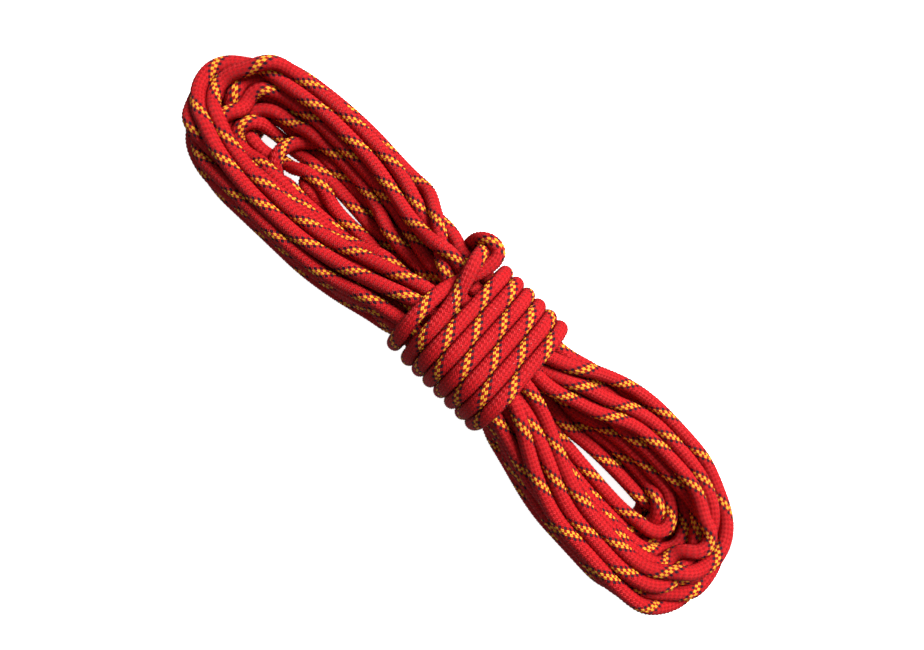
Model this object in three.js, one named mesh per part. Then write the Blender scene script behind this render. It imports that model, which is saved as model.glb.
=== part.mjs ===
// A dynamic climbing rope put away as a hank: a kernmantle rope laid in long flat loops, bound round
// the waist with its own end and finished with a half hitch. Millimetres, +Z up, +X along the hank.
// The origin is under the middle of the whole object, on the surface that the hank lies on.
import * as THREE from 'three';

// ---- The rope
const ROPE_D = 8.5;
const SHEATH_WALL = 0.75;
const GAP = 0.3;                      // left between pieces that touch

// ---- The core: an outer ring of strands round an inner one
const STRAND_D = 1.45;
const CORE_RINGS = [
  { strands: 9, radius: 2.6 },
  { strands: 3, radius: 0.95 },
];

// ---- The hank, seen from above: two lobes joined by a waist
const HANK_LENGTH = 440;
const LEFT_LOBE_WIDTH = 96;
const RIGHT_LOBE_WIDTH = 101;
const LOBE_HEIGHT = 39;
const BRANCH_WIDTH = 35;              // each lobe has two branches of strands, side by side
const END_LENGTH = 63;                // how much of the hank's length each round end takes
const WAIST_X = 12;                   // the waist is nearer the right end
const WAIST_Y = -3.5;                 // and a little to the near side
const BUNDLE_WIDTH = 65;              // all the strands together, under the binding
const BUNDLE_HEIGHT = 46;
const SPREAD_FROM = 37;               // the branches part between these two distances from the waist
const SPREAD_TO = 95;
const LOBE_ROUNDING = 11;
const BUNDLE_ROUNDING = 15;

// ---- The binding round the waist
const TURNS = 8;
const TURN_PITCH = 8.9;               // the rope is pressed flatter here: wider than it is thick
const TURN_THICKNESS = 8.1;
const BUNDLE_Z = BUNDLE_HEIGHT / 2 + GAP + TURN_THICKNESS;

// ---- The finishing hitch: up off the binding, over its far edge and down to the surface behind it
const TAIL_Y = 37.4;
const TAIL_Z = 5.4;
const HITCH_ROUTE = [
  [-12, 17, 67.7], [-12.5, 27.4, 65], [-15.5, 36, 58.3], [-20.5, 41, 49.8], [-26.5, 42.6, 40.5],
  [-30.5, 42.4, 31], [-31, 42.2, 22], [-27.5, 42, 14], [-19, 40.5, 8.4],
  [-9, TAIL_Y, TAIL_Z], [1, TAIL_Y, TAIL_Z],
];
const HITCH_STEPS = 36;

// ---- The two ends of the rope: the last stretch of each is straight
const TAIL_FROM = 1;
const TAIL_LENGTH = 45;
const START_ROUTE = [
  [-31, -3.4, 6.6], [-36, -3.2, 6], [-42, -2.7, 5.6], [-48, -2.1, 5.4], [-54, -1.5, 5.4],
];
const START_STEPS = 12;
const START_FROM = new THREE.Vector3(-54.6, -1.5, 5.4);
const START_TO = new THREE.Vector3(-86, -0.6, 5.4);
const SLEEVE_LENGTH = 24;
const SLEEVE_WALL = 0.6;
const SLEEVE_LIP = 0.9;               // how far the sleeve is shrunk in over the rope's tip
const ROPE_SIDES = 12;
const STRAND_SIDES = 8;

const { smoothstep, lerp, degToRad } = THREE.MathUtils;

const sheathMaterial = new THREE.MeshStandardMaterial({ color: 0xc8202a, roughness: 0.7, metalness: 0 });
const bindingMaterial = new THREE.MeshStandardMaterial({ color: 0xd6242c, roughness: 0.7, metalness: 0 });
const coreMaterial = new THREE.MeshStandardMaterial({ color: 0xf1efe6, roughness: 0.8, metalness: 0 });
const sleeveMaterial = new THREE.MeshStandardMaterial({ color: 0x1c1a1c, roughness: 0.5, metalness: 0 });

const hank = new THREE.Group();

function add(name, geometry, material) {
  const mesh = new THREE.Mesh(geometry, material);
  mesh.name = name;
  hank.add(mesh);
  return mesh;
}

// A ring-shaped solid, from the outlines that cut across it in turn. All have the same number of points.
function ringThrough(outlines) {
  const around = outlines.length;
  const across = outlines[0].length;
  const geometry = new THREE.TorusGeometry(2, 1, across, around);
  const position = geometry.attributes.position;
  for (let j = 0; j <= across; j += 1) {
    for (let i = 0; i <= around; i += 1) {
      const point = outlines[i % around][j % across];
      position.setXYZ(j * (around + 1) + i, point.x, point.y, point.z);
    }
  }
  geometry.computeVertexNormals();
  return geometry;
}

// The corner points of a rounded rectangle, anticlockwise, each with its outward direction.
function roundedRectangle(halfWidth, halfHeight, rounding, stepsPerCorner) {
  const points = [];
  for (const [sideX, sideY, from] of [[1, 1, 0], [-1, 1, 90], [-1, -1, 180], [1, -1, 270]]) {
    for (let k = 0; k <= stepsPerCorner; k += 1) {
      const angle = degToRad(from + (90 * k) / stepsPerCorner);
      const out = new THREE.Vector2(Math.cos(angle), Math.sin(angle));
      const centre = new THREE.Vector2(sideX * (halfWidth - rounding), sideY * (halfHeight - rounding));
      points.push({ at: out.clone().multiplyScalar(rounding).add(centre), out });
    }
  }
  return points;
}

// 0 under the binding, 1 in the lobes
function spread(x) {
  return smoothstep(Math.abs(x - WAIST_X), SPREAD_FROM, SPREAD_TO);
}

// How far the middle of a branch is from the hank's middle line
function branchOffset(x) {
  const lobeWidth = x < WAIST_X ? LEFT_LOBE_WIDTH : RIGHT_LOBE_WIDTH;
  const atWaist = BUNDLE_WIDTH / 4 + GAP / 4;
  return lerp(atWaist, (lobeWidth - BRANCH_WIDTH) / 2, spread(x));
}

// How far the hank's middle line is off to the near side
function middleLine(x) {
  return WAIST_Y * (1 - spread(x));
}

// The line through the middle of the strands, once round the hank, seen from above
function hankRoute() {
  const sideSteps = 24;
  const endSteps = 10;
  const endX = HANK_LENGTH / 2 - END_LENGTH;
  const endReach = END_LENGTH - BRANCH_WIDTH / 2;
  const route = [];
  for (const side of [1, -1]) {
    for (let k = 0; k < sideSteps; k += 1) {
      const x = side * lerp(endX, -endX, k / sideSteps);
      route.push(new THREE.Vector2(x, middleLine(x) + side * branchOffset(x)));
    }
    for (let k = 0; k < endSteps; k += 1) {
      const angle = (Math.PI * k) / endSteps;
      const x = -side * (endX + endReach * Math.sin(angle));
      route.push(new THREE.Vector2(x, side * branchOffset(-side * endX) * Math.cos(angle)));
    }
  }
  return route;
}

// All the loops of the hank as one solid of their outer shape, lying flat and raised at the waist
function hankLoops() {
  const route = hankRoute();
  const outlines = route.map((at, k) => {
    const before = route.at(k - 1);
    const after = route[(k + 1) % route.length];
    const along = after.clone().sub(before).normalize();
    const part = spread(at.x);
    const halfWidth = lerp(BUNDLE_WIDTH - GAP, 2 * BRANCH_WIDTH, part) / 4;
    const halfHeight = lerp(BUNDLE_HEIGHT, LOBE_HEIGHT, part) / 2;
    const middle = lerp(BUNDLE_Z, LOBE_HEIGHT / 2, part);
    const rounding = lerp(BUNDLE_ROUNDING, LOBE_ROUNDING, part);
    return roundedRectangle(halfWidth, halfHeight, rounding, 3).map(({ at: p }) => new THREE.Vector3(
      at.x + along.y * p.x,
      at.y - along.x * p.x,
      middle + p.y,
    ));
  });
  return ringThrough(outlines);
}

// Across the binding: flat against the bundle, one round rib for each turn
function bindingProfile() {
  const points = [[(-TURNS * TURN_PITCH) / 2, 0]];
  const ribSteps = 4;
  for (let turn = 0; turn < TURNS; turn += 1) {
    const middle = (turn - (TURNS - 1) / 2) * TURN_PITCH;
    for (let k = turn === 0 ? 0 : 1; k <= ribSteps; k += 1) {
      const angle = Math.PI * (1 - k / ribSteps);
      const x = middle + (TURN_PITCH / 2) * Math.cos(angle);
      points.push([x, (TURN_THICKNESS / 2) * (1 + Math.sin(angle))]);
    }
  }
  points.push([(TURNS * TURN_PITCH) / 2, 0]);
  return points;
}

// The turns of the binding as one ribbed ring round the bundle
function bindingTurns() {
  const halfWidth = BUNDLE_WIDTH / 2 + GAP;
  const halfHeight = BUNDLE_HEIGHT / 2 + GAP;
  const rim = roundedRectangle(halfWidth, halfHeight, BUNDLE_ROUNDING + GAP, 6);
  const profile = bindingProfile();
  const outlines = rim.map(({ at, out }) => profile.map(([x, height]) => new THREE.Vector3(
    WAIST_X + x,
    WAIST_Y + at.x + out.x * height,
    BUNDLE_Z + at.y + out.y * height,
  )));
  return ringThrough(outlines);
}

function disc(radius, sides) {
  const shape = new THREE.Shape();
  const corners = Array.from({ length: sides }, (_, k) => {
    const angle = (2 * Math.PI * (k + 0.5)) / sides;
    return new THREE.Vector2(radius * Math.cos(angle), radius * Math.sin(angle));
  });
  shape.setFromPoints(corners);
  return shape;
}

function along(shape, curve, steps) {
  return new THREE.ExtrudeGeometry(shape, { extrudePath: curve, steps, bevelEnabled: false });
}

function ropeAlong(route, steps) {
  const curve = new THREE.CatmullRomCurve3(route.map((p) => new THREE.Vector3(...p)));
  return along(disc(ROPE_D / 2, ROPE_SIDES), curve, steps);
}

function sheathTube(length) {
  const shape = disc(ROPE_D / 2, ROPE_SIDES);
  shape.holes.push(disc(ROPE_D / 2 - SHEATH_WALL, ROPE_SIDES));
  return new THREE.ExtrudeGeometry(shape, { depth: length, bevelEnabled: false });
}

function coreStrand(length) {
  return new THREE.ExtrudeGeometry(disc(STRAND_D / 2, STRAND_SIDES), { depth: length, bevelEnabled: false });
}

// A sleeve shrunk over the rope's end, with its rim turned in over the tip; its axis is Z
function endSleeve() {
  const inside = ROPE_D / 2 + GAP;
  const outside = inside + SLEEVE_WALL;
  const profile = [
    [inside, 0], [outside - 0.2, 0], [outside, 0.4],
    [outside, SLEEVE_LENGTH - 1], [outside - 0.5, SLEEVE_LENGTH],
    [inside - SLEEVE_LIP, SLEEVE_LENGTH], [inside - SLEEVE_LIP, SLEEVE_LENGTH - SLEEVE_WALL],
    [inside, SLEEVE_LENGTH - SLEEVE_WALL], [inside, 0],
  ].map(([radius, height]) => new THREE.Vector2(radius, height));
  const geometry = new THREE.LatheGeometry(profile, 24);
  geometry.rotateX(Math.PI / 2);
  return geometry;
}

// One end of the rope, straight from one point to another: the sheath, the core strands in it, the sleeve
function ropeEnd(name, from, to) {
  const length = from.distanceTo(to);
  const direction = to.clone().sub(from).normalize();
  const turn = new THREE.Quaternion().setFromUnitVectors(new THREE.Vector3(0, 0, 1), direction);
  const place = (mesh, offset) => {
    mesh.quaternion.copy(turn);
    mesh.position.copy(offset.applyQuaternion(turn).add(from));
  };
  place(add(`${name}_sheath`, sheathTube(length), sheathMaterial), new THREE.Vector3(0, 0, 0));
  let count = 0;
  for (const { strands, radius } of CORE_RINGS) {
    for (let k = 0; k < strands; k += 1) {
      const angle = (2 * Math.PI * k) / strands;
      const offset = new THREE.Vector3(radius * Math.cos(angle), radius * Math.sin(angle), 0);
      count += 1;
      const number = String(count).padStart(2, '0');
      place(add(`${name}_core_strand_${number}`, coreStrand(length), coreMaterial), offset);
    }
  }
  const sleeveFrom = length - SLEEVE_LENGTH + SLEEVE_WALL + GAP;
  place(add(`${name}_end_sleeve`, endSleeve(), sleeveMaterial), new THREE.Vector3(0, 0, sleeveFrom));
}

add('hank_loops', hankLoops(), sheathMaterial);
add('binding_turns', bindingTurns(), bindingMaterial);
add('finishing_hitch', ropeAlong(HITCH_ROUTE, HITCH_STEPS), bindingMaterial);
add('start_stretch', ropeAlong(START_ROUTE, START_STEPS), sheathMaterial);
ropeEnd(
  'tail',
  new THREE.Vector3(TAIL_FROM + GAP, TAIL_Y, TAIL_Z),
  new THREE.Vector3(TAIL_FROM + TAIL_LENGTH, TAIL_Y, TAIL_Z),
);
ropeEnd('start', START_FROM, START_TO);

// The hitch stands out at the back, so the middle of the whole is not the hank's middle line
const bounds = new THREE.Box3().setFromObject(hank, true);
const middle = bounds.getCenter(new THREE.Vector3());
hank.position.set(-middle.x, -middle.y, -bounds.min.z);

const group = new THREE.Group();
group.add(hank);

export default group;
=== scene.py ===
import math

import bpy
import numpy as np
from mathutils import Matrix, Vector


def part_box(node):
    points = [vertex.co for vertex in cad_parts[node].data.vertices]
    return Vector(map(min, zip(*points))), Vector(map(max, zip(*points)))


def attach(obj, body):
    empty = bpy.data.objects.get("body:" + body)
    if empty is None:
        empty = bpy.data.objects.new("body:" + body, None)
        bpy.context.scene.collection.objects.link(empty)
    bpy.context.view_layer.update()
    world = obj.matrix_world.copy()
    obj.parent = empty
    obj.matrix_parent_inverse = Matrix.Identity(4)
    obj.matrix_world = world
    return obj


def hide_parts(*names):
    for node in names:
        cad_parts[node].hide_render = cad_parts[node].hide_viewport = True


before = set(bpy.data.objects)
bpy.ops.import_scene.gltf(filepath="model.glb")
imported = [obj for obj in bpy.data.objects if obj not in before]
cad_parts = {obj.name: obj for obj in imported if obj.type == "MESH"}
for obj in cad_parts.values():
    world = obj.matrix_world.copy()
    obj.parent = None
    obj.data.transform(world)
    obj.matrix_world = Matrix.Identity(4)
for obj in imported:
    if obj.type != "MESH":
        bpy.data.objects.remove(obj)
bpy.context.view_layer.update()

bpy.context.scene.view_settings.view_transform = "Standard"

# A dynamic climbing rope stored as a hank. Every size here is in millimetres, in the part's working
# frame: +X along the hank, +Y away from its near side, +Z up, and 0 under the middle of its length.
# to_row() turns a point into the row frame, in metres.
MM = 0.001

# ---- The rope
ROPE_D = 8.5
ROPE_R = ROPE_D / 2
SHEATH_INNER_R = 3.6
CORE_R = 3.45
YARNS_EACH_WAY = 12                    # 12 yarns wind left and 12 wind right
BRAID_PITCH = 33.0                     # a yarn goes once round the rope in this length
CROWN = 0.2                            # a yarn's crown stands proud of the rope's radius
DIP = 0.52                             # and the corners of its crossings lie below it
EDGE_DIP = 0.55                        # its edges lie this share of the dip below it

# ---- The hank
HANK_LENGTH = 440.0
LEFT_LOBE_WIDTH = 96.0
RIGHT_LOBE_WIDTH = 101.0
BRANCH_WIDTH = 35.0
WAIST_X = 12.0
WAIST_Y = -3.5                         # the waist is a little to the near side
BUNDLE_WIDTH = 65.0
BUNDLE_HEIGHT = 46.0
BUNDLE_ROUNDING = 15.0
GAP = 0.3
TURN_THICKNESS = 8.1                   # the rope is pressed flatter in the binding
BUNDLE_Z = BUNDLE_HEIGHT / 2 + GAP + TURN_THICKNESS
LAYERS = (5, 5, 4, 3, 3)               # strands in each layer of a branch, from the floor up
OUTERMOST = 13.2                       # the outer strands lie this far out from the branch's middle
LAYER_HEIGHT = 7.6
LAYER_SHIFT = 0.9                      # each layer lies a little off the one under it
STRAND_SPACING = 8.3
BUNDLE_ROWS = (6, 7, 8, 8, 7, 6)
BUNDLE_ROW_HEIGHT = 7.5
BUNDLE_SPACING = 8.3
RIGHT_VISITS = 20                      # how often the rope goes round the right lobe
LEFT_VISITS = 19
SHORT_REACHES = (130.0, 138.0, 157.0)  # a few of the left lobe's inner loops end early
SHORT_INWARD = -6.0                    # those whose two places lie this far inward, added up,
SHORT_BELOW = 36.0                     # and are lower than this, added up
OUTER_BOTTOM = LAYERS[0] - 1           # the outermost place of a branch's lowest layer
SWAP_CHANCE = 0.35                     # how often two places of a branch are filled in the other order

# ---- How the loops open out from the bundle and turn round at the ends
# Each is a distance past the binding, and the shares of the way outward and of the way in height done there.
OPENING = ((2, 0.04, 0), (18, 0.36, 0.22), (40, 0.8, 0.7), (66, 1, 1))
OPEN_AT = 60                           # the inner strands open more slowly up to this distance,
INNER_LAG = 0.45                       # by this share,
INNER_SHORTFALL = 0.15                 # and by this one all the way
BRANCH_REACH = 25                      # a strand this far inside the outermost one counts as fully inner
END_ROUND = 58                         # the longest round end of a loop
END_ROUND_SHARE = 1.3                  # or this many times the loop's own half width
END_ANGLES = (40, 90, 140)
STRAIGHT_FROM = 95                     # a branch has a straight part if its end is this far past the binding
RIGHT_NESTING = 1.15                   # a loop ends this much sooner for each millimetre it lies inward,
LEFT_NESTING = 0.85
HEIGHT_NESTING = 0.32                  # and this much for each millimetre it lies below the top layer
TOP_LAYER = 34.7
REACH_SPREAD = 1.5                     # the random spread of where a loop ends
WOBBLE = 0.9                           # the random spread of a loop's points

# ---- The binding
TURNS = 8
TURN_PITCH = 8.9
BINDING_TWIST = 336.0                  # the winding puts one turn of twist in each such length of rope
PRESSED_WIDE = 1.04                    # along the binding
PRESSED_THIN = 0.91                   # towards the bundle
BINDING_EDGE = TURNS * TURN_PITCH / 2
WINDING_FROM = -0.28                   # turns wound, from the middle of the near side of the first one
WINDING_TO = 6.04
WINDING_STEPS = 24                     # points in each turn
TOP_OF_TURN = 0.25
LEAD_IN = 9                            # how far the rope leans outward before the first turn
PRESS_IN = 40                          # rows of the braid over which the flattening comes in
PRESS_OUT = 60                         # and goes out

# ---- The outline of the loops from above
END_LENGTH = 60.0                      # how much of the hank's length each round end takes
END_POWER = 2.3                        # a little blunter than half an ellipse
SPREAD_FROM = 30.0                     # the loops widen between these two distances from the waist
SPREAD_TO = 112.0
BOW = 6.0                              # the ends of the hank bend this far towards its near side
BOW_FROM = 60.0                        # from this distance off its middle

# ---- How the course settles
SEED = 42
COARSE_STEP = 4.5                      # the points that settle are this far apart
FINE_STEP = 1.0
SMOOTHING = 3.0                        # the settled course is smoothed over this length
SETTLE_ROUNDS = 400
GRAVITY = 0.04                         # a point sinks this much in a round
HOLD = 0.006                           # and goes back this share of the way to where it was laid
STIFFNESS = 0.2
LEAST_BEND = 12.5                      # bends of a smaller radius are opened
KINK_PULL = 0.6
OUTLINE_PULL = 0.5
BUNDLE_GIVE = 0.4                      # the strands under the binding may lie this far outside the bundle
NEIGHBOUR_REACH = 2.2                  # points nearer along the rope than this many diameters don't push
PAIRS_EVERY = 8                        # rounds between two searches for points that may touch
PAIRS_REACH = 6                        # and how far beyond touching the search goes
PAIRS_BLOCK = 512
LATER_ON_TOP = 0.5                     # of two strands deep in each other, the later one goes up
PUSH = 0.9
PUSH_LIMIT = 1.6

# ---- The courses of the two ends and of the finishing hitch
START_ROUTE = [
    (-86, -0.6, 5.4), (-78, -0.8, 5.4), (-70, -1.05, 5.4), (-62, -1.3, 5.4), (-54.6, -1.5, 5.4),
    (-48, -2.1, 5.4), (-42, -2.7, 5.6), (-36, -3.2, 6), (-31, -3.4, 6.8),
]
INTO_BUNDLE = [(-25, -3.5, 9.4), (-18, -3.5, 12), (-8, -3.5, 12.7), (8, -3.5, 12.7), (34, -3.5, 12.7)]
TO_BINDING = [(86, 43, 4.6), (74, 40, 4.6), (64, 34.5, 4.5), (55.5, 25.5, 4.3), (51, 16, 4.1)]
CROSSING = [
    (-8.9, -35.1, 49), (-9.2, -30.8, 54.6), (-9.6, -23, 58.2), (-10.4, -14.2, 59.2),
    (-11.8, -6.4, 60.4), (-14, 1.4, 63), (-16.6, 9.2, 65.8), (-18.6, 16, 66.2),
    (-19.8, 22.8, 62.6), (-20.4, 27.4, 54), (-20.6, 32.1, 44), (-20.7, 33.3, 31),
    (-20.7, 32.1, 19), (-20.6, 25.7, 8.4), (-20.5, 15, 4.4), (-20.3, -3.5, 4.1),
    (-20.1, -22, 4.4), (-19.9, -32.7, 8.4), (-19.6, -39.1, 19), (-19.5, -40.3, 31),
    (-19.6, -39.1, 43), (-20, -35.1, 51.5), (-20.4, -27.8, 57.2), (-20.6, -17.1, 59),
    (-20.2, -7.4, 57.8), (-18.2, 1.4, 56.6), (-15.2, 10.1, 56.8), (-12.6, 17.9, 58),
    (-11.6, 25.2, 59.2),
]
HITCH_ROUTE = [
    (-11.6, 27.8, 59.3), (-12.2, 30.4, 60), (-14.8, 32.8, 60.4), (-19, 33.6, 59.6), (-24.4, 33.4, 56),
    (-28.4, 32, 49.4), (-29.6, 31.6, 40.4), (-29.8, 32, 31), (-29, 34, 22), (-26, 36.8, 14),
    (-19, 38.4, 8.4), (-9, 37.6, 5.4), (1, 37.4, 5.4),
]
TAIL_ROUTE = [(15, 37.4, 5.4), (30, 37.4, 5.4), (46, 37.4, 5.4)]

# ---- The ends: separate core strands run in the last stretch of each
START_LENGTH = 31
TAIL_LENGTH = 45

binding_low, binding_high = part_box("binding_turns")
SHIFT = np.array([
    (binding_low[0] + binding_high[0]) / 2 / MM - WAIST_X,
    (binding_low[1] + binding_high[1]) / 2 / MM - WAIST_Y,
    0.0,
])


def to_row(points):
    """Working frame in millimetres to row frame in metres."""
    return (np.asarray(points, float) + SHIFT) * MM


# ---------------------------------------------------------------- the camera
CAMERA_AIM = (0.6, -4.6, 30.0)
CAMERA_DISTANCE = 358.0
CAMERA_ELEVATION = 74.6
CAMERA_ROLL = 45.2                     # the hank lies across the picture from upper left to lower right
CAMERA_LENS = 23.76


def make_camera():
    up = math.radians(CAMERA_ELEVATION)
    aim = Vector(to_row([CAMERA_AIM])[0])
    away = Vector((0, -math.cos(up), math.sin(up)))
    data = bpy.data.cameras.new("camera")
    data.lens = CAMERA_LENS
    data.sensor_width = 36
    data.clip_start = 0.01
    camera = bpy.data.objects.new("camera", data)
    turn = away.to_track_quat("Z", "Y").to_matrix().to_4x4()
    roll = Matrix.Rotation(math.radians(CAMERA_ROLL), 4, "Z")
    camera.matrix_world = Matrix.Translation(aim + away * CAMERA_DISTANCE * MM) @ turn @ roll
    bpy.context.scene.collection.objects.link(camera)
    bpy.context.scene.camera = camera


make_camera()


# ---------------------------------------------------------------- lines
def line_length(line):
    return float(np.linalg.norm(np.diff(line, axis=0), axis=1).sum())


def resample(line, step):
    """The same line with points a step apart."""
    along = np.concatenate([[0], np.cumsum(np.linalg.norm(np.diff(line, axis=0), axis=1))])
    count = max(2, int(round(along[-1] / step)) + 1)
    wanted = np.linspace(0, along[-1], count)
    return np.stack([np.interp(wanted, along, line[:, k]) for k in range(3)], 1)


def spline(points, step, pieces=16):
    """A centripetal Catmull-Rom curve through the points, with points a step apart."""
    p = np.asarray(points, float)
    ends = np.vstack([2 * p[0] - p[1], p, 2 * p[-1] - p[-2]])
    knots = np.linalg.norm(np.diff(ends, axis=0), axis=1) ** 0.5
    out = []
    for k in range(len(p) - 1):
        p0, p1, p2, p3 = ends[k:k + 4]
        t1 = knots[k]
        t2 = t1 + knots[k + 1]
        t3 = t2 + knots[k + 2]
        t = np.linspace(t1, t2, pieces, endpoint=False)[:, None]
        a1 = (t1 - t) / t1 * p0 + t / t1 * p1
        a2 = (t2 - t) / (t2 - t1) * p1 + (t - t1) / (t2 - t1) * p2
        a3 = (t3 - t) / (t3 - t2) * p2 + (t - t2) / (t3 - t2) * p3
        b1 = (t2 - t) / t2 * a1 + t / t2 * a2
        b2 = (t3 - t) / (t3 - t1) * a2 + (t - t1) / (t3 - t1) * a3
        out.append((t2 - t) / (t2 - t1) * b1 + (t - t1) / (t2 - t1) * b2)
    out.append(p[-1:])
    return resample(np.vstack(out), step)


def smoothed(line, reach, step):
    """The line with its kinks shorter than reach taken out. Its two ends stay where they are."""
    half = int(3 * reach / step)
    weights = np.exp(-0.5 * (np.arange(-half, half + 1) * step / reach) ** 2)
    weights /= weights.sum()
    head = 2 * line[0] - line[half:0:-1]
    foot = 2 * line[-1] - line[-2:-half - 2:-1]
    wide = np.vstack([head, line, foot])
    return np.stack([np.convolve(wide[:, k], weights, "valid") for k in range(3)], 1)


# ---------------------------------------------------------------- the rope's course
def branch_slots():
    """The places across a branch, as (distance outward from its middle, height), bottom layer first."""
    found = []
    for layer, count in enumerate(LAYERS):
        height = ROPE_R + layer * LAYER_HEIGHT
        shift = LAYER_SHIFT * (-1) ** layer
        row = [(OUTERMOST - k * STRAND_SPACING + shift, height) for k in reversed(range(count))]
        found += row if layer % 2 == 0 else row[::-1]
    return found


def bundle_places(passes):
    """A place in one half of the bundle for each pass, given as its (outward, height) in the branch."""
    order = sorted(range(len(passes)), key=lambda i: (passes[i][1], passes[i][0]))
    result = [None] * len(passes)
    taken = 0
    for row, count in enumerate(BUNDLE_ROWS):
        z = BUNDLE_Z + (row - (len(BUNDLE_ROWS) - 1) / 2) * BUNDLE_ROW_HEIGHT
        across = [(k - (count - 1) / 2) * BUNDLE_SPACING for k in range(count)]
        places = [(y, z) for y in across if y > 1]
        group = sorted(order[taken:taken + len(places)], key=lambda i: passes[i][0])
        for i, place in zip(group, places):
            result[i] = place
        taken += len(places)
    return result


def end_reach(side, slot):
    """How far from the middle of the hank the rope reaches at a lobe's end, for one place in the branch."""
    outward, z = slot
    nesting = RIGHT_NESTING if side > 0 else LEFT_NESTING
    inward = (OUTERMOST - outward) * nesting + (TOP_LAYER - z) * HEIGHT_NESTING
    return HANK_LENGTH / 2 - ROPE_R - inward


def lobe_visit(side, comes, from_place, from_slot, to_slot, to_place, reach, rng):
    """Points of one visit to a lobe: side is +1 for the right one, comes is -1 when it comes in near."""
    width = RIGHT_LOBE_WIDTH if side > 0 else LEFT_LOBE_WIDTH
    centre = (width - BRANCH_WIDTH) / 2

    def branch(place, slot, sign):
        y_waist, z_waist = place or (0, 0)
        y_lobe, z_lobe = centre + slot[0], slot[1]
        round_x = min(END_ROUND, END_ROUND_SHARE * y_lobe)
        inner = min(1, (OUTERMOST - slot[0]) / BRANCH_REACH)
        points = []
        for out, share_y, share_z in OPENING:
            x = WAIST_X + side * (BINDING_EDGE + out)
            share_y *= 1 - INNER_LAG * inner * (out < OPEN_AT) - INNER_SHORTFALL * inner
            y = y_waist * (1 - share_y) + y_lobe * share_y
            y = sign * y + WAIST_Y * (1 - share_y)
            points.append((x, y, z_waist * (1 - share_z) + z_lobe * share_z))
        last = side * (reach - round_x)
        if abs(last - WAIST_X) > BINDING_EDGE + STRAIGHT_FROM:
            points.append((last, sign * y_lobe, z_lobe))
        return points, y_lobe, z_lobe, round_x

    going, y_a, z_a, round_a = branch(from_place, from_slot, comes)
    coming, y_b, z_b, round_b = branch(to_place, to_slot, -comes)
    end = []
    for degrees in END_ANGLES:
        t = degrees / 180
        angle = math.radians(degrees)
        round_x = round_a * (1 - t) + round_b * t
        x = side * (reach - round_x + round_x * math.sin(angle))
        y = comes * (y_a if degrees < 90 else y_b) * math.cos(angle)
        end.append((x, y, z_a * (1 - t) + z_b * t))
    # the last visit leaves its branch for the binding before it nears the waist
    if to_place is None:
        coming = coming[3:]
    points = [np.array(p, float) for p in going + end + coming[::-1]]
    for k in range(1, len(points) - 1):
        points[k] = points[k] + rng.normal(0, WOBBLE, 3)
        points[k][1] -= bow(points[k][0])
    return points


def filling_order(rng, count):
    """The places of a branch in the order in which they are filled: bottom up, with some swapped."""
    order = list(range(count))
    for k in range(count - 1):
        if rng.random() < SWAP_CHANCE:
            order[k], order[k + 1] = order[k + 1], order[k]
    return order


def loop_points(rng):
    """From the start end through all the loops of the hank."""
    slots = branch_slots()
    place = {
        f"{side} {branch}": [slots[i] for i in filling_order(rng, visits)]
        for side, visits in (("right", RIGHT_VISITS), ("left", LEFT_VISITS))
        for branch in ("near", "far")
    }

    # the last loop comes back along the floor, on the outside of the far branch, to start the binding
    place["right far"].remove(slots[OUTER_BOTTOM])
    place["right far"].append(slots[OUTER_BOTTOM])

    def between(one, other):
        return ((one[0] + other[0]) / 2, (one[1] + other[1]) / 2)

    left_visits = range(LEFT_VISITS)
    near = bundle_places([between(place["left near"][i], place["right near"][i + 1]) for i in left_visits])
    far = bundle_places([between(place["right far"][i], place["left far"][i]) for i in left_visits])
    lowest_row = BUNDLE_Z - 2.5 * BUNDLE_ROW_HEIGHT
    comes_from = (0.0, lowest_row)
    short = list(SHORT_REACHES)
    line = [np.array(p, float) for p in START_ROUTE + INTO_BUNDLE]
    for visit in range(RIGHT_VISITS):
        last = visit == RIGHT_VISITS - 1
        a, b = place["right near"][visit], place["right far"][visit]
        goes_to = None if last else far[visit]
        reach = (end_reach(1, a) + end_reach(1, b)) / 2 + rng.normal(0, REACH_SPREAD)
        line += lobe_visit(1, -1, comes_from, a, b, goes_to, reach, rng)
        if last:
            break
        a, b = place["left far"][visit], place["left near"][visit]
        reach = (end_reach(-1, a) + end_reach(-1, b)) / 2 + rng.normal(0, REACH_SPREAD)
        if a[0] + b[0] < SHORT_INWARD and a[1] + b[1] < SHORT_BELOW and short:
            reach = short.pop(0)
        line += lobe_visit(-1, 1, goes_to, a, b, near[visit], reach, rng)
        comes_from = near[visit]
    return line


def bundle_rim():
    """Once round the middle of the binding's rope, from the middle of the near side over the top."""
    half_w = BUNDLE_WIDTH / 2 + GAP + TURN_THICKNESS / 2
    half_h = BUNDLE_HEIGHT / 2 + GAP + TURN_THICKNESS / 2
    r = BUNDLE_ROUNDING + GAP + TURN_THICKNESS / 2
    points = [(-half_w, 0)]
    for y, z, first in ((-1, 1, 180), (1, 1, 90), (1, -1, 0), (-1, -1, -90)):
        for k in range(25):
            angle = math.radians(first - 90 * k / 24)
            points.append((y * (half_w - r) + r * math.cos(angle), z * (half_h - r) + r * math.sin(angle)))
    points.append((-half_w, 0))
    rim = np.array(points)
    along = np.concatenate([[0], np.cumsum(np.linalg.norm(np.diff(rim, axis=0), axis=1))])
    return rim, along


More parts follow.
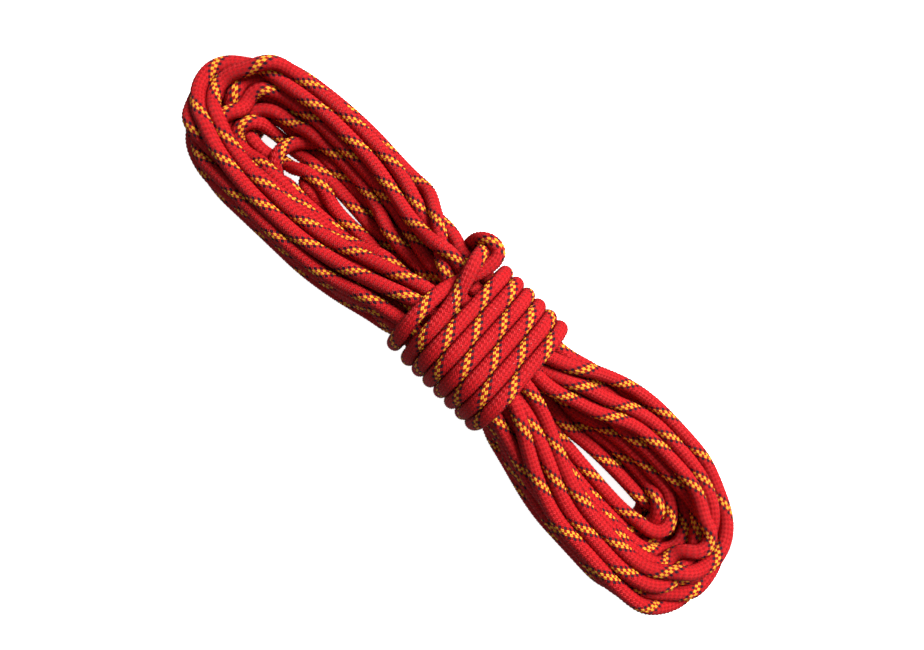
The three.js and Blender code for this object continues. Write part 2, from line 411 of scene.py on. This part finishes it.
def binding_points():
    """From under the far edge round the bundle, to where turn 2 starts to lean over turn 1."""
    rim, along = bundle_rim()
    first_x = WAIST_X + (TURNS - 1) / 2 * TURN_PITCH
    points = list(TO_BINDING)
    turned = WINDING_FROM
    while turned < WINDING_TO:
        s = (turned % 1.0) * along[-1]
        x = first_x - TURN_PITCH * (turned - TOP_OF_TURN)
        if turned < 0:
            x = first_x + TURN_PITCH * TOP_OF_TURN + LEAD_IN * turned * turned
        y = WAIST_Y + np.interp(s, along, rim[:, 0])
        z = BUNDLE_Z + np.interp(s, along, rim[:, 1])
        points.append((x, y, z))
        turned += 1 / WINDING_STEPS
    return points


def near_pairs(points, reach, apart):
    """Pairs of points nearer than reach that aren't neighbours along the rope."""
    p = points.astype(np.float32)
    square = (p * p).sum(1)
    first, second = [], []
    for at in range(0, len(p), PAIRS_BLOCK):
        block = p[at:at + PAIRS_BLOCK]
        d2 = square[at:at + PAIRS_BLOCK, None] + square[None, :] - 2 * block @ p.T
        i, j = np.nonzero(d2 < reach * reach)
        i = i + at
        keep = j - i > apart
        first.append(i[keep])
        second.append(j[keep])
    return np.concatenate(first), np.concatenate(second)


def smoothstep(value, low, high):
    t = np.clip((value - low) / (high - low), 0, 1)
    return t * t * (3 - 2 * t)


def bow(x):
    """How far the hank's middle line is bent towards the near side."""
    return BOW * (np.maximum(np.abs(x) - BOW_FROM, 0) / (HANK_LENGTH / 2 - BOW_FROM)) ** 2


def kept_in_outline(p, free):
    """Free points outside the outline of the loops are drawn back to it."""
    x, y = p[:, 0], p[:, 1] + bow(p[:, 0])
    lobe = np.where(x < WAIST_X, LEFT_LOBE_WIDTH, RIGHT_LOBE_WIDTH)
    open_part = smoothstep(np.abs(x - WAIST_X), SPREAD_FROM, SPREAD_TO)
    half_w = (BUNDLE_WIDTH * (1 - open_part) + lobe * open_part) / 2 - ROPE_R
    y = y - WAIST_Y * (1 - open_part)
    past = np.maximum(np.abs(x) - (HANK_LENGTH / 2 - END_LENGTH), 0) / (END_LENGTH - ROPE_R)
    off = (past ** END_POWER + np.abs(y / half_w) ** END_POWER) ** (1 / END_POWER)
    outside = free & (off > 1) & (np.abs(x - WAIST_X) > BINDING_EDGE)
    back = np.where(outside, 1 - OUTLINE_PULL * (1 - 1 / np.maximum(off, 1e-6)), 1.0)
    end_x = np.sign(x) * (HANK_LENGTH / 2 - END_LENGTH)
    p[:, 0] = np.where(past > 0, end_x + (x - end_x) * back, x)
    p[:, 1] = y * back + WAIST_Y * (1 - open_part) - bow(x)


def kept_in_binding(p, free):
    """Free points under the binding stay inside the bundle's rounded outline."""
    half_w = BUNDLE_WIDTH / 2 - ROPE_R + BUNDLE_GIVE
    half_h = BUNDLE_HEIGHT / 2 - ROPE_R + BUNDLE_GIVE
    r = BUNDLE_ROUNDING - ROPE_R
    inside = free & (np.abs(p[:, 0] - WAIST_X) < BINDING_EDGE + 1)
    y, z = p[inside, 1] - WAIST_Y, p[inside, 2] - BUNDLE_Z
    core_y = np.clip(y, -(half_w - r), half_w - r)
    core_z = np.clip(z, -(half_h - r), half_h - r)
    off = np.hypot(y - core_y, z - core_z)
    share = np.where(off > r, r / np.maximum(off, 1e-6), 1.0)
    p[inside, 1] = WAIST_Y + core_y + (y - core_y) * share
    p[inside, 2] = BUNDLE_Z + core_z + (z - core_z) * share


def kept_from_kinking(p, w, step):
    """Free points where the rope is bent too tightly are drawn towards their neighbours."""
    bend = (p[:-2] + p[2:]) / 2 - p[1:-1]
    depth = np.linalg.norm(bend, axis=1)
    limit = step * step / (2 * LEAST_BEND)
    change = bend * (np.maximum(depth - limit, 0) / np.maximum(depth, 1e-6) * KINK_PULL)[:, None]
    p[1:-1] += change * w[1:-1]
    p[:-2] -= change / 2 * w[:-2]
    p[2:] -= change / 2 * w[2:]


def settle(laid, fixed, step):
    """The rope sinks on the floor and on itself, keeps its length, and is pushed out of itself."""
    p = laid.copy()
    free = ~fixed
    w = free.astype(float)[:, None]
    apart = int(round(NEIGHBOUR_REACH * ROPE_D / step))
    for turn in range(SETTLE_ROUNDS):
        if turn % PAIRS_EVERY == 0:
            first, second = near_pairs(p, ROPE_D + PAIRS_REACH, apart)
        p[:, 2] -= GRAVITY * w[:, 0]
        p += HOLD * (laid - p) * w
        bend = np.zeros_like(p)
        bend[1:-1] = STIFFNESS * ((p[:-2] + p[2:]) / 2 - p[1:-1])
        p += bend * w
        for _ in range(2):
            gap = p[first] - p[second]
            distance = np.linalg.norm(gap, axis=1)
            hit = distance < ROPE_D
            i, j = first[hit], second[hit]
            away = gap[hit] / np.maximum(distance[hit], 1e-6)[:, None]
            away[distance[hit] < ROPE_D / 2, 2] -= LATER_ON_TOP
            depth = (ROPE_D - distance[hit])[:, None]
            both = np.maximum(w[i] + w[j], 1e-6)
            push = np.zeros_like(p)
            count = np.zeros(len(p))
            np.add.at(push, i, away * depth * w[i] / both)
            np.add.at(push, j, -away * depth * w[j] / both)
            np.add.at(count, i, 1)
            np.add.at(count, j, 1)
            share = np.minimum(count, PUSH_LIMIT)[:, None]
            p += push / np.maximum(count, 1)[:, None] * PUSH * share
            p[:, 2] = np.maximum(p[:, 2], ROPE_R + CROWN)
        for parity in (0, 1, 0, 1):
            a = np.arange(parity, len(p) - 1, 2)
            b = a + 1
            gap = p[b] - p[a]
            distance = np.linalg.norm(gap, axis=1)
            change = ((distance - step) / np.maximum(distance, 1e-6))[:, None] * gap
            both = np.maximum(w[a] + w[b], 1)
            p[a] += change * w[a] / both
            p[b] -= change * w[b] / both
        for _ in range(3):
            kept_from_kinking(p, w, step)
        kept_in_outline(p, free)
        kept_in_binding(p, free)
        p[:, 2] = np.maximum(p[:, 2], ROPE_R + CROWN)
    return p


def rope_line():
    """The middle line of the whole rope, and where on it the binding starts and the hitch's arch does."""
    loops = loop_points(np.random.default_rng(SEED))
    rest = binding_points() + CROSSING + HITCH_ROUTE + TAIL_ROUTE
    laid = spline(loops + rest, COARSE_STEP)
    step = line_length(laid) / (len(laid) - 1)
    # the start, up to where it enters the bundle, and the binding and all that follows it stay as laid
    beginning = laid[:80]
    last_fixed = int(np.argmin(np.linalg.norm(beginning - np.array(START_ROUTE[-1]), axis=1)))
    first_fixed = int(np.argmin(np.linalg.norm(laid - np.array(rest[0]), axis=1))) + 2
    fixed = np.zeros(len(laid), bool)
    fixed[first_fixed:] = True
    fixed[:last_fixed + 1] = True
    settled = settle(laid, fixed, step)
    fine = smoothed(spline(settled, FINE_STEP), SMOOTHING, FINE_STEP)
    half = len(fine) // 2

    def nearest(point):
        return half + int(np.argmin(np.linalg.norm(fine[half:] - np.array(point), axis=1)))

    return fine, nearest(rest[0]), nearest(HITCH_ROUTE[0])


centreline, binding_from, binding_to = rope_line()
rope_length = line_length(centreline)
print("rope length", round(rope_length), "mm")


# ---------------------------------------------------------------- frames along the rope
def turning_frames(line):
    """Two directions across the line at each of its points, carried along it without twist."""
    tangent = np.gradient(line, axis=0)
    tangent /= np.linalg.norm(tangent, axis=1)[:, None]
    across = np.zeros_like(line)
    start = np.array([0.0, 0.0, 1.0])
    across[0] = start - tangent[0] * (start @ tangent[0])
    across[0] /= np.linalg.norm(across[0])
    chord = np.diff(line, axis=0)
    chord_square = (chord * chord).sum(1)
    normal = across[0]
    for k in range(len(line) - 1):
        c = chord[k]
        n1 = normal - 2 / chord_square[k] * (c @ normal) * c
        t1 = tangent[k] - 2 / chord_square[k] * (c @ tangent[k]) * c
        d = tangent[k + 1] - t1
        square = d @ d
        normal = n1 - 2 / square * (d @ n1) * d if square > 1e-18 else n1
        across[k + 1] = normal
    return across, np.cross(tangent, across)


def wound(across, third, first, pitch):
    """The frames with the twist that the winding of the binding puts into the rope."""
    angle = -2 * math.pi * np.maximum(np.arange(len(across)) - first, 0) * pitch / BINDING_TWIST
    c, s = np.cos(angle)[:, None], np.sin(angle)[:, None]
    return c * across + s * third, c * third - s * across


def new_object(name, vertices, faces, materials, face_slots=None):
    """A smooth mesh object in the row frame, from vertices in millimetres in the working frame."""
    mesh = bpy.data.meshes.new(name)
    sizes = np.array([len(f) for f in faces])
    flat = np.concatenate([np.asarray(f).ravel() for f in faces])
    mesh.vertices.add(len(vertices))
    mesh.vertices.foreach_set("co", to_row(vertices).astype(np.float32).ravel())
    mesh.loops.add(len(flat))
    mesh.loops.foreach_set("vertex_index", flat.astype(np.int32))
    mesh.polygons.add(len(sizes))
    starts = np.concatenate([[0], np.cumsum(sizes)[:-1]])
    mesh.polygons.foreach_set("loop_start", starts.astype(np.int32))
    mesh.polygons.foreach_set("loop_total", sizes.astype(np.int32))
    for material in materials:
        mesh.materials.append(material)
    if face_slots is not None:
        mesh.polygons.foreach_set("material_index", face_slots.astype(np.int32))
    mesh.polygons.foreach_set("use_smooth", np.full(len(sizes), True))
    mesh.update(calc_edges=True)
    obj = bpy.data.objects.new(name, mesh)
    bpy.context.scene.collection.objects.link(obj)
    return obj


# ---------------------------------------------------------------- materials
def plain_material(name, colour, roughness, sheen=0.0):
    material = bpy.data.materials.new(name)
    material.use_nodes = True
    shader = material.node_tree.nodes["Principled BSDF"]
    shader.inputs["Base Color"].default_value = (*colour, 1)
    shader.inputs["Roughness"].default_value = roughness
    shader.inputs["Sheen Weight"].default_value = sheen
    return material


def srgb(r, g, b):
    def one(c):
        c = c / 255
        return c / 12.92 if c <= 0.04045 else ((c + 0.055) / 1.055) ** 2.4
    return (one(r), one(g), one(b))


# One red in a lit copy and a painted-shade copy: the right-winding yarns get the second, darker red as
# painted shade, in place of the two yarn families catching the light differently.
RED_LIT = srgb(200, 20, 27)
RED_SHADED = srgb(170, 10, 17)
YELLOW = srgb(246, 172, 48)
BLACK = srgb(42, 14, 30)
YARN_ROUGHNESS = 0.5
YARN_SPECULAR = 0.22
PLY_SHAPE = 0.6                        # below 1, a ply's crown is broad and the split beside it narrow
FIBRES_ALONG = 3.0                     # the fibres' pattern is long along the yarn and fine across it
FIBRES_ACROSS = 26.0
FIBRE_DEPTH = 0.5
BUMP_HEIGHT = 0.0005                   # metres


def yarn_material(name, colour, goes_with_u):
    """A sheath yarn: two plies side by side, fibres along it. The UV map counts yarns both ways."""
    material = plain_material(name, colour, YARN_ROUGHNESS)
    nodes, links = material.node_tree.nodes, material.node_tree.links
    shader = nodes["Principled BSDF"]
    shader.inputs["Specular IOR Level"].default_value = YARN_SPECULAR
    uv = nodes.new("ShaderNodeUVMap")
    uv.uv_map = "lattice"
    split = nodes.new("ShaderNodeSeparateXYZ")
    links.new(uv.outputs["UV"], split.inputs[0])
    along = split.outputs["X"] if goes_with_u else split.outputs["Y"]
    side = split.outputs["Y"] if goes_with_u else split.outputs["X"]

    def maths(operation, a, b=None):
        node = nodes.new("ShaderNodeMath")
        node.operation = operation
        for socket, value in zip(node.inputs, (a, b)):
            if value is None:
                continue
            if isinstance(value, (int, float)):
                socket.default_value = value
            else:
                links.new(value, socket)
        return node.outputs[0]

    # across the yarn: 0 at its edges and at the split between its two plies, 1 on each ply's crown
    ply = maths("ABSOLUTE", maths("SINE", maths("MULTIPLY", side, 2 * math.pi)))
    crown = maths("POWER", ply, PLY_SHAPE)
    combine = nodes.new("ShaderNodeCombineXYZ")
    links.new(maths("MULTIPLY", along, FIBRES_ALONG), combine.inputs[0])
    links.new(maths("MULTIPLY", side, FIBRES_ACROSS), combine.inputs[1])
    fibres = nodes.new("ShaderNodeTexNoise")
    fibres.inputs["Scale"].default_value = 1.0
    fibres.inputs["Detail"].default_value = 2.0
    links.new(combine.outputs[0], fibres.inputs["Vector"])
    height = maths("ADD", crown, maths("MULTIPLY", fibres.outputs["Fac"], FIBRE_DEPTH))
    bump = nodes.new("ShaderNodeBump")
    bump.inputs["Strength"].default_value = 1.0
    bump.inputs["Distance"].default_value = BUMP_HEIGHT
    links.new(height, bump.inputs["Height"])
    links.new(bump.outputs[0], shader.inputs["Normal"])
    return material


SHEATH_MATERIALS = [
    yarn_material("sheath_red_left_lit", RED_LIT, False),
    yarn_material("sheath_red_right_shaded", RED_SHADED, True),
    yarn_material("sheath_yellow", YELLOW, False),
    yarn_material("sheath_black", BLACK, False),
    plain_material("sheath_inside", RED_SHADED, 0.7),
]
CORE_MATERIAL = plain_material("core_white", srgb(240, 238, 230), 0.8, 0.2)
SLEEVE_MATERIAL = plain_material("sleeve_black", srgb(28, 26, 28), 0.45)


# ---------------------------------------------------------------- the braided sheath
HALF_STEPS = 4 * YARNS_EACH_WAY        # half columns of vertices once round
ROW = BRAID_PITCH / HALF_STEPS         # rows of vertices are this far apart
INNER_SIDES = 12                       # the wall's inner face has this many sides
INNER_EVERY = 8                        # and a ring of points for each so many rows
SECTION_ROWS = 2900                    # at most so many rows in a section of the sheath
TUBE_SIDES = 10
CORE_STEP = 4.5


def lattice_relief(a, b):
    """Height over the rope's radius at a lattice point: high in a yarn's middle, low at its edges."""
    odd_a, odd_b = a % 2 == 1, b % 2 == 1
    return np.where(odd_a & odd_b, CROWN, np.where(odd_a | odd_b, -DIP * EDGE_DIP, -DIP))


def ring_points(line, across, third, rows, angles, radii, press=None):
    """Points round the line at some of its rows; angles and radii are by row and column."""
    off = (
        (radii * np.cos(angles))[..., None] * across[rows][:, None, :]
        + (radii * np.sin(angles))[..., None] * third[rows][:, None, :]
    )
    if press is not None:
        share = press[rows][:, None]
        wide = off[..., 0] * (1 + share * (PRESSED_WIDE - 1))
        off = off * (1 + share * (PRESSED_THIN - 1))[..., None]
        off[..., 0] = wide
    return line[rows][:, None, :] + off


def braid_section(name, line, across, third, press, first, last):
    """The sheath between two rows of the whole rope: a hollow braided tube with both ends closed."""
    rows = np.arange(first, last + 1)
    columns = np.arange(YARNS_EACH_WAY * 2)
    n = 2 * columns[None, :] + (rows % 2)[:, None]
    a = (n + rows[:, None]) // 2
    b = (n - rows[:, None]) // 2
    angles = n * (2 * math.pi / HALF_STEPS)
    radii = ROPE_R + lattice_relief(a, b)
    outer = ring_points(line, across, third, rows, angles, radii, press).reshape(-1, 3)
    per_row = len(columns)

    def index(row, n_value):
        return (row - first) * per_row + (n_value % HALF_STEPS) // 2

    # the diamonds: each has a corner in its own row, two in the next and one in the row after
    m = np.repeat(rows[:-2], per_row)
    c = (2 * columns[None, :] + (rows[:-2] % 2)[:, None]).ravel()
    diamonds = np.stack([index(m, c), index(m + 1, c + 1), index(m + 2, c), index(m + 1, c - 1)], 1)
    a0, b0 = (c + m) // 2, (c - m) // 2
    yarn_left = (a0 // 2) % YARNS_EACH_WAY
    left_on_top = ((a0 // 2) + ((b0 - 1) // 2)) % 2 == 0
    # cells with a left-winding yarn on top take the lit red, the others the darker red as painted shade
    slots = np.where(left_on_top, 0, 1)
    slots = np.where(left_on_top & ((yarn_left == 1) | (yarn_left == 2)), 2, slots)
    slots = np.where(left_on_top & ((yarn_left == 0) | (yarn_left == 3)), 3, slots)
    corners = ((a0, b0), (a0 + 1, b0), (a0 + 1, b0 - 1), (a0, b0 - 1))
    uv = np.stack([np.stack(corner, 1) for corner in corners], 1) / 2.0

    # the triangles that fill the first and the last row
    c_first = 2 * columns + first % 2
    low = np.stack([index(first, c_first), index(first, c_first + 2), index(first + 1, c_first + 1)], 1)
    c_last = 2 * columns + (last - 1) % 2
    high = np.stack([index(last - 1, c_last), index(last, c_last + 1), index(last, c_last - 1)], 1)

    # the wall's inner face, and the two ring-shaped ends
    inner_rows = np.unique(np.concatenate([np.arange(first, last, INNER_EVERY), [last]]))
    start = 2 * math.pi * (rows[0] % 2) / HALF_STEPS
    inner_angles = np.tile(start + np.arange(INNER_SIDES) * 2 * math.pi / INNER_SIDES, (len(inner_rows), 1))
    inner_radii = np.full(inner_angles.shape, SHEATH_INNER_R)
    inner = ring_points(line, across, third, inner_rows, inner_angles, inner_radii, press)
    base = len(outer)
    k = np.arange(INNER_SIDES)
    k_next = (k + 1) % INNER_SIDES
    level = np.repeat(np.arange(len(inner_rows) - 1), INNER_SIDES) * INNER_SIDES
    kk, kn = np.tile(k, len(inner_rows) - 1), np.tile(k_next, len(inner_rows) - 1)
    inside = base + np.stack([level + kk, level + INNER_SIDES + kk, level + INNER_SIDES + kn, level + kn], 1)
    top = base + (len(inner_rows) - 1) * INNER_SIDES
    o_first = (2 * k) % per_row
    o_last = (last - first) * per_row + (2 * k) % per_row
    o_last_1 = (last - first) * per_row + (2 * k + 1) % per_row
    o_last_2 = (last - first) * per_row + (2 * k + 2) % per_row
    caps = [
        np.stack([o_first, base + k, (2 * k + 1) % per_row], 1),
        np.stack([(2 * k + 1) % per_row, base + k, base + k_next, (2 * k + 2) % per_row], 1),
        np.stack([o_last, o_last_1, top + k], 1),
        np.stack([o_last_1, o_last_2, top + k_next, top + k], 1),
    ]
    faces = [*diamonds, *low, *high, *inside]
    for part in caps:
        faces += list(part)
    fillers = len(low) + len(high)
    hidden = len(faces) - len(diamonds) - fillers
    face_slots = np.concatenate([slots, np.full(fillers, 0), np.full(hidden, 4)])
    vertices = np.vstack([outer, inner.reshape(-1, 3)])
    obj = new_object(name, vertices, faces, SHEATH_MATERIALS, face_slots)
    layer = obj.data.uv_layers.new(name="lattice")
    values = np.zeros((len(obj.data.loops), 2), np.float32)
    values[:len(diamonds) * 4] = uv.reshape(-1, 2)
    layer.data.foreach_set("uv", values.ravel())
    return obj


def smooth_tube(name, line, radius, sides, material):
    """A closed round tube along a line, its two ends flat."""
    across, third = turning_frames(line)
    rows = np.arange(len(line))
    angles = np.tile(np.arange(sides) * 2 * math.pi / sides, (len(line), 1))
    ring = ring_points(line, across, third, rows, angles, np.full(angles.shape, radius)).reshape(-1, 3)
    k = np.arange(sides)
    k_next = (k + 1) % sides
    level = np.repeat(rows[:-1], sides) * sides
    kk, kn = np.tile(k, len(line) - 1), np.tile(k_next, len(line) - 1)
    walls = np.stack([level + kk, level + kn, level + sides + kn, level + sides + kk], 1)
    faces = [*walls, k[::-1], (len(line) - 1) * sides + k]
    return new_object(name, ring, faces, [material])


def make_rope():
    """The core and the sections of the sheath, attached together as one cord."""
    fine = resample(centreline, ROW)
    inner = centreline[START_LENGTH:-TAIL_LENGTH]
    cord = smooth_tube("rope_core", resample(inner, CORE_STEP), CORE_R, TUBE_SIDES, CORE_MATERIAL)
    across, third = turning_frames(fine)
    pitch = rope_length / (len(fine) - 1)
    scale = (len(centreline) - 1) / rope_length
    first = binding_from / scale / pitch
    last = binding_to / scale / pitch
    across, third = wound(across, third, first, pitch)
    row = np.arange(len(fine))
    pressed = smoothstep(row, first, first + PRESS_IN)
    press = pressed * (1 - smoothstep(row, last - PRESS_OUT, last))
    count = math.ceil((len(fine) - 1) / SECTION_ROWS)
    borders = np.linspace(0, len(fine) - 1, count + 1).astype(int)
    sections = [
        braid_section(f"sheath_braid_{k + 1:02d}", fine, across, third, press, borders[k], borders[k + 1])
        for k in range(count)
    ]
    for piece in sections:
        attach(piece, "root")
    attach(cord, "root")
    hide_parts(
        "hank_loops", "binding_turns", "finishing_hitch", "start_stretch", "tail_sheath", "start_sheath",
    )


make_rope()


def dress_cad_nodes():
    """The core strands and the sleeves at the rope's two ends are the part's own solids."""
    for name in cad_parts:
        obj = bpy.data.objects.get(name)
        if obj is None or obj.hide_render:
            continue
        material = SLEEVE_MATERIAL if "sleeve" in name else CORE_MATERIAL
        for slot in obj.material_slots:
            slot.material = material
        if not obj.material_slots:
            obj.data.materials.append(material)


dress_cad_nodes()


# ---------------------------------------------------------------- the floor and the light
FLOOR_GLOW = 0.9                       # the pale floor stays pale in the hank's own shadow
FLOOR_HALF = 10.0                      # metres
KEY_PLACE = (0.12, 0.7, 1.1)           # metres
KEY_SIZE = 0.6
KEY_WATTS = 42
WORLD_STRENGTH = 0.3


def make_floor():
    half = FLOOR_HALF
    corners = [(-half, -half, 0), (half, -half, 0), (half, half, 0), (-half, half, 0)]
    mesh = bpy.data.meshes.new("floor")
    mesh.from_pydata(corners, [], [(0, 1, 2, 3)])
    white = plain_material("floor_white", (0.9, 0.9, 0.9), 0.9)
    shader = white.node_tree.nodes["Principled BSDF"]
    shader.inputs["Emission Color"].default_value = (1, 1, 1, 1)
    shader.inputs["Emission Strength"].default_value = FLOOR_GLOW
    mesh.materials.append(white)
    floor = bpy.data.objects.new("floor", mesh)
    floor.visible_diffuse = False          # its glow doesn't light the hank from below
    floor.visible_glossy = False
    bpy.context.scene.collection.objects.link(floor)


def make_key_light():
    """A square light that faces the middle of the floor."""
    data = bpy.data.lights.new("key", "AREA")
    data.size = KEY_SIZE
    data.energy = KEY_WATTS
    light = bpy.data.objects.new("key", data)
    turn = Vector(KEY_PLACE).to_track_quat("Z", "Y").to_matrix().to_4x4()
    light.matrix_world = Matrix.Translation(KEY_PLACE) @ turn
    bpy.context.scene.collection.objects.link(light)


make_floor()
make_key_light()

world = bpy.data.worlds.new("studio")
world.use_nodes = True
world.node_tree.nodes["Background"].inputs["Color"].default_value = (1, 1, 1, 1)
world.node_tree.nodes["Background"].inputs["Strength"].default_value = WORLD_STRENGTH
bpy.context.scene.world = world
